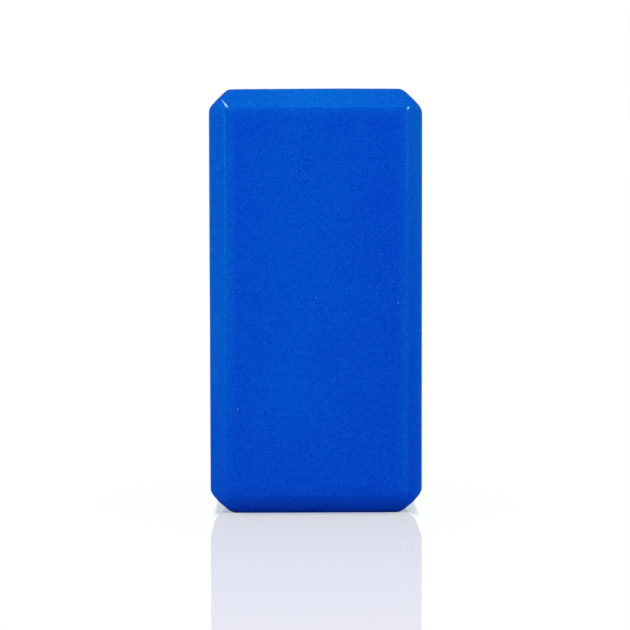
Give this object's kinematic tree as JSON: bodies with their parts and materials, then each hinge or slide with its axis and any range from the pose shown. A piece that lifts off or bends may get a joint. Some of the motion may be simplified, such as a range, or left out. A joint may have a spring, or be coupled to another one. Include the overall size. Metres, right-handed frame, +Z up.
{
  "type": "foam yoga block",
  "caption": "Upright rectangular exercise block of closed-cell foam with bevelled edges, used as a support under a hand, foot or hip.",
  "frame": {"origin": "middle of the short end that the block stands on", "axes": "+Z up along the block's length, X across the broad faces, -Y out of the front broad face"},
  "size_m": [0.11, 0.07, 0.22],
  "materials": {
    "blue_foam": "satin skin of closed-cell EVA foam, fine even grain"
  },
  "bodies": {
    "root": {"foam_block": "blue_foam"}
  },
  "joints": []
}
